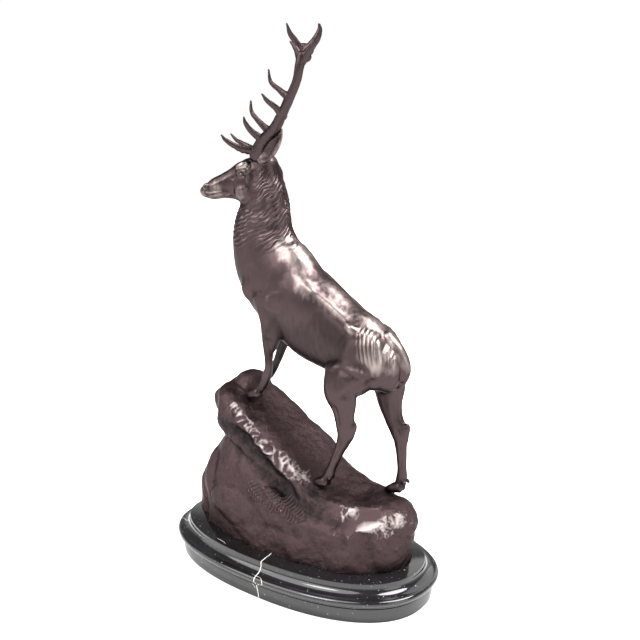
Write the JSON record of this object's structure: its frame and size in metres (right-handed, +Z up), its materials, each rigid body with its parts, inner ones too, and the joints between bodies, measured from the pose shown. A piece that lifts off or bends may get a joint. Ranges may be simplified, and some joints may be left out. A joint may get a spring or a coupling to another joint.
{
  "type": "bronze stag sculpture on a marble plinth",
  "caption": "Cast bronze stag standing uphill on a sloping rock, head turned and antlers raised, on a moulded oval black marble plinth.",
  "frame": {"origin": "middle of the plinth's underside", "axes": "+Z up, +X along the plinth away from the way the stag faces, -Y out of the stag's left flank"},
  "size_m": [0.4294, 0.2444, 0.7757],
  "materials": {
    "bronze": "satin dark brown patina",
    "marble": "polished black marble with thin white veins"
  },
  "bodies": {
    "root": {"bronze_stag_on_rock": "bronze", "marble_plinth": "marble"}
  },
  "joints": []
}
